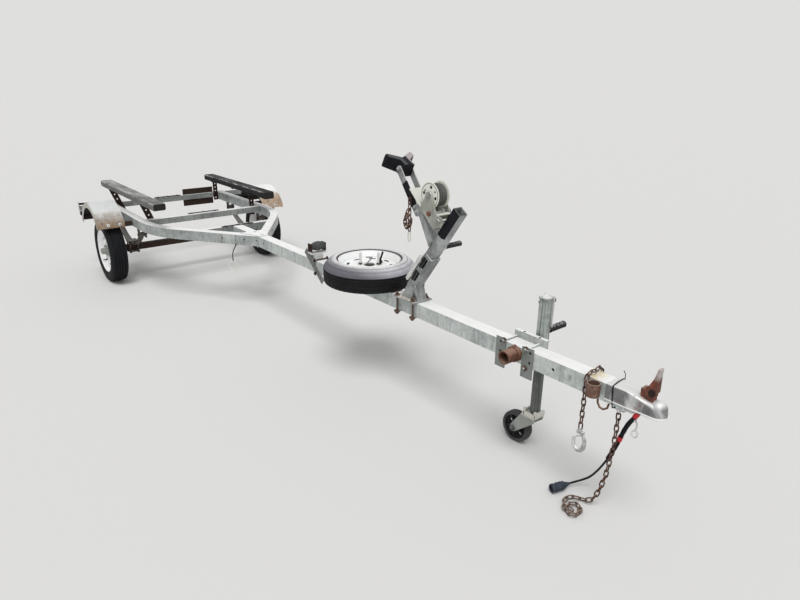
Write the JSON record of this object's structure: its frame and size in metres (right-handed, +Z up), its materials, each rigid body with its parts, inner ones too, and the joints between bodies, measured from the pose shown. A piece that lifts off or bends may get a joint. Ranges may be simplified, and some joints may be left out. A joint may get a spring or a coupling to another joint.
{
  "type": "boat trailer",
  "caption": "Single-axle galvanised boat trailer with carpeted bunks, winch stand, bow stop, swivel jack, spare wheel and ball coupler.",
  "frame": {"origin": "on the ground below the middle of the overall length, on the trailer's centre plane", "axes": "+X forward to the coupler, +Y to the trailer's left, +Z up"},
  "size_m": [5.12, 1.648, 1.2954],
  "materials": {
    "tyre": "ribbed black rubber",
    "rim": "white enamel with chips",
    "galvanised": "dull galvanised steel with grey streaks",
    "dark_galvanised": "weathered galvanised steel",
    "rust": "brown rust",
    "zinc": "yellow zinc plate",
    "carpet": "worn grey carpet",
    "rubber": "black rubber",
    "plastic": "dark plastic",
    "lamp": "dark red lens in a black housing",
    "strap": "grey woven strap"
  },
  "bodies": {
    "frame": {"tongue_tube": "galvanised", "rail_right": "galvanised", "rail_left": "galvanised", "crossmember_front": "galvanised", "crossmember_middle": "galvanised", "crossmember_rear": "galvanised", "junction_gusset": "galvanised", "axle_beam": "rust", "spring_right": "rust", "spring_left": "rust", "fender_right": "dark_galvanised", "fender_left": "dark_galvanised", "fender_bars": "rust", "tail_light_right": "lamp", "tail_light_left": "lamp", "bunk_right": "carpet", "bunk_left": "carpet", "bunk_brackets_front": "rust", "bunk_brackets_rear": "rust", "rear_bars": "rust", "roller_yoke": "rust", "roller_stay": "dark_galvanised", "spare_tyre": "tyre", "spare_rim": "rim", "spare_carrier": "dark_galvanised", "winch_stand_base": "galvanised", "winch_post": "dark_galvanised", "bow_arm": "galvanised", "bow_stop": "rubber", "winch_plate": "galvanised", "winch_frame": "zinc", "bow_chain": "rust", "jack_mount": "dark_galvanised", "pipe_stub": "rust", "coupler": "galvanised", "coupler_latch": "rust", "chain_ring": "rust", "chain_short": "rust", "chain_long": "rust", "cable": "rubber", "plug": "plastic", "hanging_wire": "dark_galvanised"},
    "wheel_right": {"tyre_right": "tyre", "rim_right": "rim", "hub_right": "dark_galvanised"},
    "wheel_left": {"tyre_left": "tyre", "rim_left": "rim", "hub_left": "dark_galvanised"},
    "roller": {"keel_roller": "rubber"},
    "drum": {"winch_drum": "zinc", "winch_strap": "strap"},
    "winch_handle": {"winch_crank": "rubber"},
    "jack_tube": {"jack_outer": "galvanised"},
    "jack_handle": {"jack_crank": "dark_galvanised"},
    "jack_leg": {"jack_inner": "dark_galvanised"},
    "caster_yoke": {"caster_fork": "galvanised"},
    "caster": {"caster_wheel": "plastic"}
  },
  "joints": [
    {"name": "wheel_right_spin", "type": "hinge", "parent": "frame", "child": "wheel_right", "pos_m": [-1.935, -0.703, 0.2605], "axis": [0, 1, 0], "continuous": true},
    {"name": "wheel_left_spin", "type": "hinge", "parent": "frame", "child": "wheel_left", "pos_m": [-1.935, 0.703, 0.2605], "axis": [0, 1, 0], "continuous": true},
    {"name": "roller_spin", "type": "hinge", "parent": "frame", "child": "roller", "pos_m": [0.216, 0, 0.641], "axis": [0, 1, 0], "continuous": true},
    {"name": "drum_spin", "type": "hinge", "parent": "frame", "child": "drum", "pos_m": [1.302, 0, 1.122], "axis": [0, 1, 0], "continuous": true},
    {"name": "winch_handle_spin", "type": "hinge", "parent": "frame", "child": "winch_handle", "pos_m": [1.31384, 0, 1.03884], "axis": [0, 1, 0], "continuous": true},
    {"name": "jack_swivel", "type": "hinge", "parent": "frame", "child": "jack_tube", "pos_m": [1.917, 0.101, 0.53], "axis": [0, 1, 0], "range_deg": [0, 90]},
    {"name": "jack_handle_spin", "type": "hinge", "parent": "jack_tube", "child": "jack_handle", "pos_m": [1.917, 0.101, 0.737], "axis": [0, 1, 0], "continuous": true},
    {"name": "jack_slide", "type": "slide", "parent": "jack_tube", "child": "jack_leg", "axis": [0, 0, -1], "range_m": [-0.2, 0.04]},
    {"name": "caster_swivel", "type": "hinge", "parent": "jack_leg", "child": "caster_yoke", "pos_m": [1.917, 0.101, 0.19], "axis": [0, 0, 1], "continuous": true},
    {"name": "caster_spin", "type": "hinge", "parent": "caster_yoke", "child": "caster", "pos_m": [1.823, 0.101, 0.0775], "axis": [0, 1, 0], "continuous": true}
  ],
  "couplings": [
    {"joint": "winch_handle_spin", "follows": "drum_spin", "ratio": -3}
  ]
}
